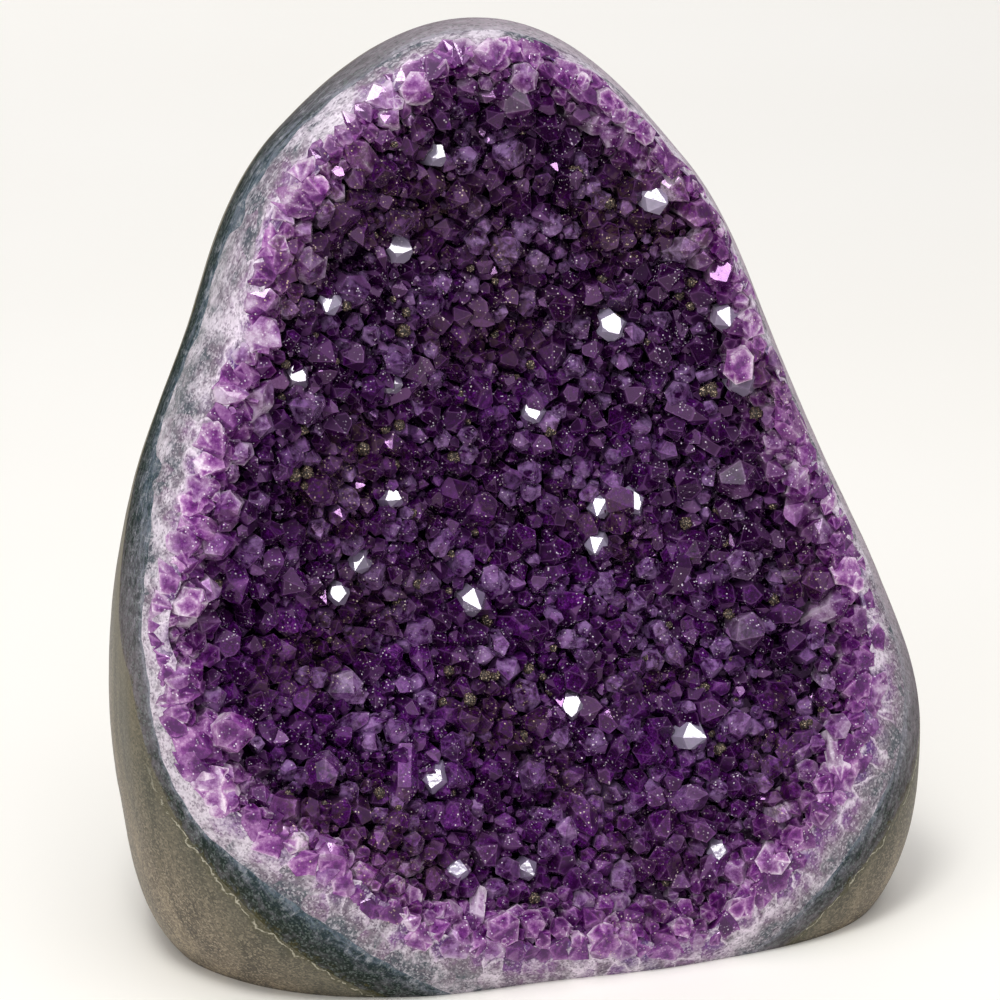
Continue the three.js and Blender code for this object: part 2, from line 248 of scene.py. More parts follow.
class Board:
    """Short words for laying out one node tree."""

    def __init__(self, tree):
        self.tree = tree

    def put(self, kind, settings=None, **values):
        """Adds a node; values go to its inputs by name."""
        made = self.tree.nodes.new(kind)
        for name, value in (settings or {}).items():
            setattr(made, name, value)
        for name, value in values.items():
            self.feed(made.inputs[name], value)
        return made

    def feed(self, socket, value):
        if isinstance(value, bpy.types.NodeSocket):
            self.tree.links.new(value, socket)
        else:
            socket.default_value = value

    def named(self, name, kind="Fac"):
        return self.put("ShaderNodeAttribute", {"attribute_name": name}).outputs[kind]

    def ramp(self, fac, stops):
        made = self.put("ShaderNodeValToRGB", Fac=fac)
        band = made.color_ramp
        while len(band.elements) < len(stops):
            band.elements.new(0.5)
        for element, (place, colour) in zip(band.elements, stops):
            element.position = place
            element.color = paint(colour)
        return made.outputs["Color"]

    def mix(self, fac, a, b):
        made = self.put("ShaderNodeMix", {"data_type": "RGBA", "clamp_factor": True})
        self.feed(made.inputs["Factor"], fac)
        self.feed(made.inputs[6], paint(a) if isinstance(a, str) else a)
        self.feed(made.inputs[7], paint(b) if isinstance(b, str) else b)
        return made.outputs[2]

    def work_out(self, operation, a, b=0.0):
        made = self.put("ShaderNodeMath", {"operation": operation})
        self.feed(made.inputs[0], a)
        self.feed(made.inputs[1], b)
        return made.outputs[0]

    def times(self, a, b):
        return self.work_out("MULTIPLY", a, b)

    def plus(self, a, b):
        return self.work_out("ADD", a, b)

    def minus(self, a, b):
        return self.work_out("SUBTRACT", a, b)

    def line(self, value, centre, inner, outer):
        """One within inner of a centre, fading to nothing at outer."""
        return self.span(self.work_out("ABSOLUTE", self.minus(value, centre)), inner, outer, 1, 0)

    def span(self, value, low, high, out_low=0.0, out_high=1.0):
        """Stretches low to high over out_low to out_high, and stops at both ends."""
        made = self.put("ShaderNodeMapRange", Value=value)
        ends = {"From Min": low, "From Max": high, "To Min": out_low, "To Max": out_high}
        for name, number in ends.items():
            made.inputs[name].default_value = number
        return made.outputs[0]

    def grain(self, vector, scale, detail, roughness=0.5):
        made = self.put("ShaderNodeTexNoise", Vector=vector, Scale=scale, Detail=detail, Roughness=roughness)
        return made.outputs["Fac"]

    def cells(self, vector, scale, output="Distance", feature="F1"):
        made = self.put("ShaderNodeTexVoronoi", {"feature": feature}, Vector=vector, Scale=scale)
        return made.outputs[output]

    def cell_tones(self, vector, scale):
        """Three random numbers for each cell."""
        return self.put("ShaderNodeSeparateColor", Color=self.cells(vector, scale, "Color")).outputs

    def part(self, vector, axis):
        return self.put("ShaderNodeSeparateXYZ", Vector=vector).outputs[axis]

    def stretch(self, vector, x, y, z):
        made = self.put("ShaderNodeVectorMath", {"operation": "MULTIPLY"})
        self.feed(made.inputs[0], vector)
        made.inputs[1].default_value = (x, y, z)
        return made.outputs[0]

    def warp(self, vector, scale, amount):
        """Shifts a place by smooth noise, so that borders wander."""
        noise_here = self.put("ShaderNodeTexNoise", Vector=vector, Scale=scale, Detail=2.0).outputs["Color"]
        made = self.put("ShaderNodeVectorMath", {"operation": "MULTIPLY_ADD"})
        self.feed(made.inputs[0], noise_here)
        made.inputs[1].default_value = (amount, amount, amount)
        self.feed(made.inputs[2], vector)
        return made.outputs[0]

    def solid_place(self):
        return self.put("ShaderNodeTexCoord").outputs["Object"]

    def shell_place(self):
        """A place round, across and behind the face, in millimetres, that no wall stretches."""
        behind = self.part(self.solid_place(), "Y")
        deeper = self.put("ShaderNodeCombineXYZ", Z=self.times(behind, DEEPER))
        made = self.put("ShaderNodeVectorMath", {"operation": "ADD"})
        self.feed(made.inputs[0], self.named("strata", "Vector"))
        self.feed(made.inputs[1], deeper.outputs[0])
        return made.outputs[0]

    def relief(self, height, depth, strength):
        made = self.put("ShaderNodeBump", Height=height, Distance=depth, Strength=strength)
        return made.outputs["Normal"]

    def coat(self, shader, colour, roughness, normal):
        self.feed(shader.inputs["Base Color"], colour)
        self.feed(shader.inputs["Roughness"], roughness)
        self.feed(shader.inputs["Normal"], normal)


def new_material(name):
    material = bpy.data.materials.new(name)
    material.use_nodes = True
    material.node_tree.nodes.clear()
    board = Board(material.node_tree)
    shader = board.put("ShaderNodeBsdfPrincipled")
    out = board.put("ShaderNodeOutputMaterial")
    material.node_tree.links.new(shader.outputs[0], out.inputs[0])
    return material, board, shader


def basalt_material():
    material, board, shader = new_material("polished_basalt")
    place = board.solid_place()
    # Clouded rock with upright streaks, dark and pale.
    cloud = board.grain(board.stretch(place, 1.0, 1.0, 0.22), 90, 5, 0.6)
    colour = board.ramp(cloud, [(0.3, "#51483c"), (0.5, "#6f6455"), (0.72, "#877b69")])
    wandering = board.warp(board.stretch(place, 1.0, 1.0, 0.12), 60, 0.002)
    streak = board.span(board.grain(wandering, 380, 4), 0.48, 0.64)
    colour = board.mix(board.times(streak, 0.62), colour, "#3a352d")
    pale_streak = board.span(board.grain(board.stretch(place, 1.0, 1.0, 0.1), 300, 3), 0.52, 0.7)
    colour = board.mix(board.times(pale_streak, 0.45), colour, "#a09178")
    # Single dark and pale grains.
    tint = board.cell_tones(place, 4200)[0]
    colour = board.mix(board.span(tint, 0.6, 1.0, 0, 0.62), colour, "#2f2b26")
    colour = board.mix(board.span(tint, 0.38, 0.0, 0, 0.55), colour, "#b9ab92")
    fleck = board.span(board.grain(place, 2300, 2), 0.6, 0.7)
    colour = board.mix(board.times(fleck, 0.45), colour, "#aea28a")
    # Greener next to the agate, and olive right against it.
    strata = board.named("strata", "Vector")
    inward = board.part(strata, "Z")
    height = board.part(place, "Z")
    near = board.span(board.plus(inward, board.span(cloud, 0.3, 0.7, -1.5, 1.5)), -6.5, -0.5)
    colour = board.mix(board.times(near, 0.6), colour, "#474a40")
    olive = board.times(board.span(inward, -2.2, -0.2), board.span(height, 0.03, 0.05))
    colour = board.mix(board.times(olive, 0.6), colour, "#675c3f")
    # A thin pale vein that follows the agate round the foot, in a darker seam.
    kinked = board.warp(board.warp(strata, 0.24, 2.6), 1.3, 1.0)
    across = board.part(kinked, "Z")
    line = board.line(across, 1.45, 0.02, 0.12)
    broken = board.span(board.grain(strata, 0.9, 4, 0.6), 0.42, 0.5)
    low = board.span(height, 0.033, 0.024)
    vein = board.times(board.times(line, broken), low)
    seam = board.line(across, 1.6, 0, 0.7)
    seam = board.times(board.times(seam, low), 0.6)
    colour = board.mix(seam, colour, "#46442a")
    colour = board.mix(board.times(vein, 0.85), colour, "#b3ae9c")
    # Fine pits, with the vein standing a little proud.
    pits = board.plus(board.times(tint, 0.6), board.grain(place, 900, 3))
    pits = board.minus(pits, board.times(vein, 1.2))
    board.coat(shader, colour, board.span(cloud, 0.3, 0.7, 0.4, 0.55), board.relief(pits, 0.00006, 0.6))
    shader.inputs["Specular IOR Level"].default_value = 0.2
    return material


# What counts as skin of the rind, in from the agate.
RIND_SKIN = 10
stone = ground_stone()
block = skin("above_ground", np.array([0.0, 0.0, 200.0]),
             np.array([[[100, -100, 200], [100, 100, 200], [-100, 100, 200], [-100, -100, 200]],
                       [[100, -100, 0], [100, 100, 0], [-100, 100, 0], [-100, -100, 0]]], float),
             np.array([0.0, 0.0, 0.0]))
carve(stone, block, "INTERSECT")
agate_bowl = bowl("agate_bowl", agate_radius, AGATE_BOWL_DEPTH)
rind = into_scene("rind_of_basalt", stone.data.copy())
carve(rind, agate_bowl, "DIFFERENCE")
soften(rind)
record_strata(rind, agate_radius, lambda angle: agate_radius(angle) - RIND_SKIN,
              AGATE_BOWL_DEPTH, AGATE_BOWL_DEPTH)
rind.data.materials.append(basalt_material())
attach(rind, "root")
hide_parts("basalt_rind")

# ---------------------------------------- the agate band
# Between the rock and the quartz lies a thin shell of chalcedony, laid down first and finely
# banded: dark green-grey against the rock, bluer and cloudier towards the quartz.

AGATE_WIDTH = [1.4, 1, 1, 1.1, 1.6, 1.4, 2, 2.1, 1.5, 1.5, 4.6, 3.8, 2, 3, 3, 4.2]
QUARTZ_BOWL_DEPTH = 25
# How bleached the agate is, the same way round.
AGATE_PALENESS = [0.8, 0.9, 0.9, 0.95, 0.65, 0.12, 0, 0.05, 0.25, 0.1, 0, 0.05, 0.3, 0.4, 0.1, 0.3]


def band_edge(angle):
    return around(OUTLINE, angle) - around(RIND_WIDTH, angle) - around(AGATE_WIDTH, angle)


def quartz_radius(angle):
    return band_edge(angle) + waves(angle, 0.45, 7)


def record_round(piece, name, values):
    """Notes on every point a share that changes round the rim."""
    x, up, _ = to_face(np.array([v.co[:] for v in piece.data.vertices]) / MM)
    shares = np.clip(around(values, np.arctan2(up, x)), 0, 1)
    piece.data.attributes.new(name, "FLOAT", "POINT").data.foreach_set("value", shares)


def agate_material():
    material, board, shader = new_material("banded_agate")
    plain = board.shell_place()
    strata = board.warp(plain, 0.5, 1.4)
    haze = board.grain(board.stretch(strata, 0.5, 0.5, 0.9), 1.0, 5, 0.65)
    place = board.plus(board.named("across_band"), board.span(haze, 0.25, 0.75, -0.3, 0.3))
    colour = board.ramp(place, [(0.0, "#4a4630"), (0.12, "#2c3029"), (0.45, "#28312e"), (0.75, "#323d42"),
                                (0.97, "#566470")])
    bands = board.span(board.grain(board.stretch(strata, 0.07, 0.07, 3.4), 1.0, 2), 0.42, 0.62)
    colour = board.mix(board.times(bands, 0.4), colour, "#1f2624")
    # Pale tongues that reach in from the quartz, bleached stretches and fine specks.
    feather = board.grain(board.stretch(strata, 1.3, 1.3, 0.55), 1.0, 5, 0.72)
    tongue = board.span(feather, 0.53, 0.68)
    reach = board.span(place, 0.45, 1.05)
    colour = board.mix(board.times(tongue, board.plus(reach, 0.08)), colour, "#a3a5ab")
    bleached = board.plus(board.named("paleness"), board.span(haze, 0.3, 0.7, -0.15, 0.15))
    colour = board.mix(board.times(bleached, 0.92), colour, "#c2b4bd")
    speck = board.cell_tones(plain, 3.9)[0]
    colour = board.mix(board.span(speck, 0.66, 1.0, 0, 0.4), colour, "#7d8884")
    colour = board.mix(board.span(speck, 0.34, 0.0, 0, 0.4), colour, "#242b29")
    board.coat(shader, colour, board.span(haze, 0.3, 0.7, 0.25, 0.4), board.relief(haze, 0.00008, 0.4))
    shader.inputs["Specular IOR Level"].default_value = 0.0
    return material


quartz_bowl = bowl("quartz_bowl", quartz_radius, QUARTZ_BOWL_DEPTH)
agate = into_scene("band_of_agate", stone.data.copy())
carve(agate, agate_bowl, "INTERSECT")
carve(agate, quartz_bowl, "DIFFERENCE")
soften(agate)
record_strata(agate, agate_radius, quartz_radius, AGATE_BOWL_DEPTH, QUARTZ_BOWL_DEPTH)
record_round(agate, "paleness", AGATE_PALENESS)
agate.data.materials.append(agate_material())
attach(agate, "root")
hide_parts("agate_band")

# ---------------------------------------- the quartz bed
# Milky quartz grew next, in columns that point into the hollow. Ground flat at the rim they
# show as pale cells with purple hearts, and their inner ends stand round the hollow.

# How milky the quartz is and how wide its band is at the rim, the same way round.
QUARTZ_MILKINESS = [0.85, 0.65, 0.6, 0.7, 0.4, 0.35, 0.45, 0.4, 0.75, 0.95, 0, 0.05, 0.4, 0.4, 0.1, 0.15]
QUARTZ_WIDTH = [3, 2, 2.2, 1.8, 2.8, 4.8, 5.6, 4.6, 3.4, 4.8, 6.5, 7, 11.2, 7.5, 7.3, 7.2]
RIM_STEP, HOLLOW_DEPTH, CRUST = 5, 9, 4


def hollow_radius(angle):
    """The scalloped edge where the quartz ends and the crystals begin."""
    notch = np.abs(np.sin(angle * 21 + 1.3 * np.sin(angle * 5)))
    return band_edge(angle) - around(QUARTZ_WIDTH, angle) + 0.8 * notch + waves(angle, 0.4, 5)


def hollow_floor(x, up):
    """Depth of the hollow's floor behind a point on the face."""
    angle = np.arctan2(up, x)
    edge = hollow_radius(angle)
    share = np.minimum(np.hypot(x, up) / edge, 1)
    rim = front_depth(edge / outline_radius(angle), angle)
    return rim + RIM_STEP + HOLLOW_DEPTH * (1 - share ** BOWL_ROUNDNESS)


def hollow_space():
    """What the hollow takes out of the quartz."""
    angles = all_round()
    edge = hollow_radius(angles)
    rings = [ring(edge, angles, OPEN_FRONT)]
    for share in np.linspace(1, 0.08, 20):
        x, up = edge * share * np.cos(angles), edge * share * np.sin(angles)
        rings.append(from_face(x, up, hollow_floor(x, up)))
    middle = from_face(0.0, 0.0, hollow_floor(0.0, 0.0))
    return skin("hollow_space", from_face(0.0, 0.0, OPEN_FRONT), np.array(rings), middle)


def quartz_material():
    material, board, shader = new_material("milky_quartz")
    strata = board.shell_place()
    across, milkiness = board.named("across_band"), board.named("milkiness")
    wavy = board.warp(board.stretch(strata, 1.0, 1.0, 0.7), 0.35, 3.0)
    heart = board.cells(wavy, 0.3)
    outline = board.cells(wavy, 0.3, "Distance", "DISTANCE_TO_EDGE")
    lump = board.cell_tones(wavy, 0.3)
    haze = board.grain(strata, 0.45, 5, 0.7)
    place = board.plus(across, board.span(haze, 0.25, 0.75, -0.35, 0.35))
    place = board.plus(place, board.span(lump[0], 0, 1, -0.25, 0.25))
    colour = board.ramp(place, [(0.0, "#4a5158"), (0.12, "#6c6870"), (0.35, "#796a78"), (0.58, "#825f86"),
                                (0.8, "#713c82"), (1.0, "#501a62")])
    cloud = board.plus(board.grain(strata, 0.2, 4, 0.7), board.span(milkiness, 0, 1, -0.12, 0.1))
    milky = board.times(board.span(cloud, 0.45, 0.58), board.span(place, 1.15, 0.6, 0.2, 1.0))
    colour = board.mix(board.times(milky, 0.8), colour, "#d6cbd6")
    # Columns cut across: a purple heart inside a pale outline.
    purple = board.times(board.span(heart, 0.12, 0.55, 1, 0), board.span(across, 0.3, 0.8))
    purple = board.times(purple, board.span(lump[1], 0.35, 0.65))
    colour = board.mix(purple, colour, "#4f1c78")
    skin_line = board.times(board.span(outline, 0.02, 0.13, 1, 0), board.span(across, 0.2, 0.5))
    skin_line = board.times(skin_line, board.span(lump[2], 0.3, 0.7))
    colour = board.mix(board.times(skin_line, 0.8), colour, "#e6d8e6")
    # Feathered outer edge, grime in the hollows of the polish, and a sugary grain.
    feather = board.span(board.grain(board.stretch(strata, 1.4, 1.4, 0.5), 1.0, 5, 0.75), 0.52, 0.66)
    colour = board.mix(board.times(feather, board.span(across, 0.6, 0.0, 0.1, 0.5)), colour, "#c6c2cb")
    grime = board.span(board.grain(strata, 0.9, 5, 0.75), 0.54, 0.64)
    colour = board.mix(board.times(grime, 0.65), colour, "#4d4450")
    sugar = board.cell_tones(strata, 3.8)[0]
    colour = board.mix(board.span(sugar, 0.62, 1.0, 0, 0.4), colour, "#e6dde6")
    colour = board.mix(board.span(sugar, 0.4, 0.0, 0, 0.5), colour, "#493a50")
    height = board.plus(board.times(outline, 1.5), board.times(sugar, 0.5))
    board.coat(shader, colour, board.span(sugar, 0.0, 1.0, 0.25, 0.5), board.relief(height, 0.0002, 0.5))
    shader.inputs["Specular IOR Level"].default_value = 0.3
    return material


quartz = into_scene("bed_of_quartz", stone.data.copy())
carve(quartz, quartz_bowl, "INTERSECT")
hollow = hollow_space()
carve(quartz, hollow, "DIFFERENCE")
soften(quartz)
record_strata(quartz, quartz_radius, hollow_radius, QUARTZ_BOWL_DEPTH, QUARTZ_BOWL_DEPTH)
record_round(quartz, "milkiness", QUARTZ_MILKINESS)
quartz.data.materials.append(quartz_material())
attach(quartz, "root")
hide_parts("quartz_bed")

# ---------------------------------------- the crust of small crystals
# The hollow is lined with thousands of six-sided amethyst points a millimetre or three across.
# They crowd and grow through each other: near black in the gaps and towards the middle,
# clearer and paler near the rim, with flat glassy facets that flash as the light passes.

# On a crystal of unit radius: its root below the shoulder and its tip above.
ROOT, TIP, HALF_WIDTH = -2.2, 1.15, 0.87
FACE_SLOPE = math.radians(51.8)
HABITS = 60
SWELL = 1.8
# Smallest and largest radius in millimetres, how many are tried, and how close they may stand.
CRYSTAL_SIZES = [(1.8, 2.5, 400, 0.62), (1.25, 1.8, 5000, 0.56), (0.75, 1.2, 12000, 0.58),
                 (0.42, 0.7, 9000, 0.72)]
# How far in from the edge crystals are paler, and below which height on the face.
PALE_REACH = 6.5
LOW_EDGE, LOW_FADE = -18, 20
PATCH_LEFT, PATCH_FOOT, PATCH_WIDTH, PATCH_HEIGHT = -60, -52, 24, 25


def quartz_point(dice, small_faces=(0.95, 1.4), skew=0.08):
    """One crystal of unit radius: a six-sided prism under three large and three small tip faces.

    Each flat facet gets a point in its middle, so that its edges and middle can differ in colour.
    """
    form = bmesh.new()
    bmesh.ops.create_cube(form, size=8)

    def slice_off(normal, distance):
        normal = Vector(normal)
        parts = form.verts[:] + form.edges[:] + form.faces[:]
        cut = bmesh.ops.bisect_plane(form, geom=parts, dist=1e-5, plane_co=normal * distance,
                                     plane_no=normal, clear_outer=True)
        rim = [e for e in cut["geom_cut"] if isinstance(e, bmesh.types.BMEdge)]
        if rim:
            bmesh.ops.edgeloop_fill(form, edges=rim)

    slice_off((0, 0, -1), -ROOT)
    for k in range(6):
        turn = k * math.pi / 3 + dice.gauss(0, 0.02)
        slice_off((math.cos(turn), math.sin(turn), 0), HALF_WIDTH * dice.uniform(0.8, 1.06))
    side, rise = math.sin(FACE_SLOPE), math.cos(FACE_SLOPE)
    for k in range(6):
        turn = k * math.pi / 3
        apex = TIP * (dice.uniform(0.98 - skew, 0.98 + skew) if k % 2 == 0 else dice.uniform(*small_faces))
        slice_off((math.cos(turn) * side, math.sin(turn) * side, rise), apex * rise)
    bmesh.ops.recalc_face_normals(form, faces=form.faces[:])
    corner_count = len(form.verts)
    bmesh.ops.poke(form, faces=form.faces[:])
    form.verts.index_update()
    points = np.array([v.co[:] for v in form.verts])
    faces = [tuple(v.index for v in f.verts) for f in form.faces]
    middles = {}
    facets = [middles.setdefault(max(face), len(middles)) for face in faces]
    form.free()
    return points, faces, facets, corner_count


def stand(x, up, depth, radius, length, tilt, towards, spin):
    """Where a crystal's shoulder and its own three directions lie in the part's frame."""
    sideways = ACROSS * math.cos(towards) + UPWARD * math.sin(towards)
    axis = -INWARD * math.cos(tilt) + sideways * math.sin(tilt)
    right = np.cross(UPWARD, axis)
    right /= np.linalg.norm(right)
    front = np.cross(axis, right)
    turned = right * math.cos(spin) + front * math.sin(spin)
    directions = np.stack([turned * radius, np.cross(axis, turned) * radius, axis * length])
    return from_face(x, up, depth), directions


def ground_flush(points, proud):
    """Keeps crystals inside the quartz wall, and grinds off what stood proud of the rim."""
    x, up, depth = to_face(points)
    angle, distance = np.arctan2(up, x), np.hypot(x, up)
    limit = hollow_radius(angle) + np.minimum(2.6, around(QUARTZ_WIDTH, angle) * 0.6)
    kept = np.minimum(1, limit / np.maximum(distance, 1))
    level = front_depth(distance * kept / outline_radius(angle), angle) - proud
    return from_face(x * kept, up * kept, np.maximum(depth, level))


def crystal_cluster(name, crystals, habits, seed):
    """Joins crystals in one mesh, with the notes that their material reads."""
    dice = random.Random(seed)
    points, faces, shade = [], [], []
    notes = {"rise": [], "tone": [], "glow": [], "border": []}
    start = 0
    for crystal in crystals:
        shape, sides, facets, corner_count = habits[crystal["habit"]]
        origin, directions = crystal["stand"]
        points.append(ground_flush(origin + shape @ directions, 0.08 + 0.2 * crystal["tone"]))
        notes["rise"].append((shape[:, 2] - ROOT) / (TIP - ROOT))
        notes["tone"].append(np.full(len(shape), crystal["tone"]))
        notes["glow"].append(np.full(len(shape), crystal["glow"]))
        notes["border"].append((np.arange(len(shape)) < corner_count).astype(float))
        faces.extend(tuple(start + i for i in side) for side in sides)
        shades = [dice.random() for _ in range(max(facets) + 1)]
        shade.extend(shades[number] for number in facets)
        start += len(shape)
    mesh = bpy.data.meshes.new(name)
    mesh.from_pydata((np.vstack(points) * MM).tolist(), [], faces)
    for label, values in notes.items():
        mesh.attributes.new(label, "FLOAT", "POINT").data.foreach_set("value", np.concatenate(values))
    mesh.attributes.new("facet", "FLOAT", "FACE").data.foreach_set("value", np.array(shade))
    return into_scene(name, mesh)


# The hollow's edge worked out once all round, because thousands of seeds ask for it.
EDGE_STEPS = 1440
EDGE_TABLE = hollow_radius(np.linspace(-math.pi, math.pi, EDGE_STEPS + 1))


def room_inside(x, up):
    """How far a place on the face lies in from the edge of the hollow."""
    turn = (math.atan2(up, x) + math.pi) / (2 * math.pi)
    return float(EDGE_TABLE[int(turn * EDGE_STEPS)]) - math.hypot(x, up)


def swell_at(x, up):
    """How far the crust stands out in low mounds."""
    return noise.noise(Vector((x * 0.1, up * 0.1, 3.0))) * SWELL


def scatter_crystals(dice):
    """Seeds fall on the face at random, and grow where their neighbours leave them room."""
    box = 2.0
    grid = {}
    made = []
    for low, high, tries, crowd in CRYSTAL_SIZES:
        for _ in range(tries):
            x, up = dice.uniform(-48, 50), dice.uniform(-48, 72)
            inside = room_inside(x, up)
            if inside < 0.2:
                continue
            radius = dice.uniform(low, high)
            column, row = int(x // box), int(up // box)
            near = (other for i in range(column - 2, column + 3) for j in range(row - 2, row + 3)
                    for other in grid.get((i, j), ()))
            if all(math.hypot(a - x, b - up) > crowd * (size + radius) for a, b, size in near):
                grid.setdefault((column, row), []).append((x, up, radius))
                made.append((x, up, radius, inside))
    return made


def crystal_here(x, up, radius, inside, dice):
    """Chooses one crystal's habit, lean and colour from its place in the hollow."""
    angle = math.atan2(up, x)
    closeness = max(0.0, 1 - inside / PALE_REACH)
    low_down = min(max((LOW_EDGE - up) / LOW_FADE, 0), 1)
    depth = float(hollow_floor(x, up)) - CRUST - swell_at(x, up) - radius * 0.35 - dice.uniform(-0.3, 1.0)
    if dice.random() < 0.3 + 0.4 * closeness:
        towards = angle + math.pi + dice.gauss(0, 0.9)
    else:
        towards = dice.uniform(0, 2 * math.pi)
    tilt = min(abs(dice.gauss(0, 0.45)) + 0.25 * closeness, 1.15)
    return {
        "habit": dice.randrange(HABITS),
        "stand": stand(x, up, depth, radius, radius * dice.uniform(0.9, 1.3), tilt, towards,
                       dice.uniform(0, 2 * math.pi)),
        "tone": dice.random(),
        "glow": min(closeness + 0.22 * low_down, 1.0),
    }


def facet_finish_group():
    """Colour, roughness and relief of an amethyst facet, shared by all the crystals."""
    tree = bpy.data.node_groups.new("facet_finish", "ShaderNodeTree")
    for name, default in (("Darkness", 0.5), ("Paleness", 0.0), ("Staining", 0.5)):
        tree.interface.new_socket(name, in_out="INPUT", socket_type="NodeSocketFloat").default_value = default
    for name, kind in (("Color", "Color"), ("Roughness", "Float"), ("Height", "Float")):
        tree.interface.new_socket(name, in_out="OUTPUT", socket_type="NodeSocket" + kind)
    board = Board(tree)
    given = board.put("NodeGroupInput").outputs
    place = board.solid_place()
    facet, tone = board.named("facet"), board.named("tone")
    rise, border = board.named("rise"), board.named("border")
    cloud = board.grain(place, 700, 5, 0.65)
    fine = board.grain(place, 2600, 4, 0.7)

    # The deep purple, mottled inside each facet, darker higher up, and with painted shade darker to the right
    # as if the light came from the left.
    value = board.plus(board.times(facet, 0.36), board.times(tone, 0.26))
    value = board.plus(value, board.span(cloud, 0.3, 0.7, -0.2, 0.4))
    value = board.plus(value, board.span(fine, 0.3, 0.7, -0.3, 0.38))
    grit = board.cell_tones(place, 5200)[0]
    value = board.plus(value, board.span(grit, 0, 1, -0.12, 0.12))
    seat = board.put("ShaderNodeSeparateXYZ", Vector=place).outputs
    value = board.minus(value, board.span(seat["Z"], 0.03, 0.09, -0.02, 0.27))
    # Painted shade: the colour darkens towards the right, where less light falls.
    value = board.minus(value, board.span(seat["X"], 0.008, 0.035, 0, 0.15))
    value = board.plus(value, board.span(board.grain(place, 95, 2), 0.35, 0.65, -0.15, 0.13))
    value = board.minus(value, board.times(given["Darkness"], 0.3))
    colour = board.ramp(value, [(0.0, "#1d0224"), (0.25, "#2b0636"), (0.45, "#3d0b4e"), (0.62, "#521468"),
                                (0.78, "#62276e"), (0.9, "#6c3f78"), (1.0, "#8a6194")])

    # Some crystals are cloudy, and a painted highlight lightens the edges a little.
    milk = board.times(board.span(tone, 0.66, 0.92), board.span(cloud, 0.42, 0.62))
    colour = board.mix(board.times(milk, 0.75), colour, "#9274a2")
    edge = board.span(border, 0.82, 1.0)
    colour = board.mix(board.times(edge, 0.3), colour, "#80558a")

    # The pale finish: purple at the root, whitish at the tip and along the edges. The paleness is the
    # crystals' own colour; the whiter tips and edges are painted highlight.
    root_to_tip = board.span(rise, 0.45, 1.0, 0.26, -0.28)
    pale_value = board.plus(board.times(tone, 0.5), board.span(cloud, 0.3, 0.7, -0.1, 0.36))
    pale_value = board.plus(pale_value, board.span(fine, 0.3, 0.7, -0.14, 0.16))
    pale_value = board.plus(pale_value, board.span(border, 0.3, 1.0, -0.14, 0.3))
    pale = board.ramp(board.plus(pale_value, root_to_tip),
                      [(0.0, "#480c54"), (0.28, "#773180"), (0.6, "#b07fb1"), (0.95, "#f2e3ee")])
    lift = board.times(given["Paleness"], board.span(facet, 0, 1, 0.55, 1.1))
    colour = board.mix(board.work_out("MINIMUM", lift, 0.96), colour, pale)

    # Rust in patches, and tiny painted glints of light, white, and golden on the rust.
    patch = board.span(board.grain(place, 62, 3), 0.5, 0.64)
    dirt = board.span(board.grain(place, 1500, 3, 0.6), 0.47, 0.6)
    rust = board.times(board.times(patch, dirt), given["Staining"])
    colour = board.mix(board.times(rust, 0.75), colour, "#33261a")
    # Painted highlight: tiny bright dots stand in for glints of light.
    glint_dots = board.span(board.cells(place, 2500), 0.18, 0.34, 1, 0)
    chosen = board.cell_tones(place, 2500)[1]
    crowd = board.span(board.grain(place, 520, 4, 0.7), 0.45, 0.58)
    painted_glints = board.times(board.times(glint_dots, crowd), board.span(chosen, 0.4, 1.0))
    colour = board.mix(painted_glints, colour, board.mix(patch, "#f4ecf6", "#d6c3a2"))

    # Glassy facets beside dull ones, and growth steps on both.
    dull = board.span(board.work_out("FRACT", board.times(facet, 7.3)), 0.5, 0.9)
    rough = board.plus(board.span(dull, 0, 1, 0.06, 0.36), board.times(rust, 0.2))
    steps = board.grain(place, 1900, 2)
    height = board.plus(steps, board.times(board.grain(place, 260, 2), 2.0))
    board.put("NodeGroupOutput", Color=colour, Roughness=rough, Height=height)
    return tree


FACET_FINISH = facet_finish_group()


def amethyst_material(name, darkness=0.35, paleness=0.0, staining=0.35, from_glow=0.5,
                      gloss="#ffffff", polish=None, clear=None):
    """The shared finish on one kind of crystal: dark or pale, stained, and how much its glow counts."""
    material, board, shader = new_material(name)
    finish = board.put("ShaderNodeGroup", {"node_tree": FACET_FINISH}, Darkness=darkness, Staining=staining)
    glow = board.times(board.named("glow"), from_glow)
    board.feed(finish.inputs["Paleness"], board.plus(glow, paleness))
    colour = finish.outputs["Color"]
    if clear:
        colour = board.mix(board.span(board.named("tone"), 0.0, 1.0, 0.2, 0.75), colour, clear)
    rough = polish or finish.outputs["Roughness"]
    board.coat(shader, colour, rough, board.relief(finish.outputs["Height"], 0.00004, 0.4))
    shader.inputs["IOR"].default_value = 1.55
    shader.inputs["Specular Tint"].default_value = paint(gloss)
    return material


def crust_floor_piece():
    """The uneven ground between and behind the crystals."""
    angles = all_round(240)
    edge = hollow_radius(angles) - 0.3
    rings = []
    for share in np.linspace(0.03, 1, 42):
        x, up = edge * share * np.cos(angles), edge * share * np.sin(angles)
        lift = np.array([noise.noise(Vector((a * 0.5, b * 0.5, 1.0))) for a, b in zip(x, up)])
        rings.append(from_face(x, up, hollow_floor(x, up) - CRUST + 1.2 + lift * 0.5))
    for share in (1.0, 0.5, 0.1):
        x, up = edge * share * np.cos(angles), edge * share * np.sin(angles)
        rings.append(from_face(x, up, hollow_floor(x, up) - 0.3))
    middle = float(hollow_floor(0.0, 0.0))
    return skin("crust_floor", from_face(0.0, 0.0, middle - CRUST + 1.2), np.array(rings),
                from_face(0.0, 0.0, middle - 0.3))


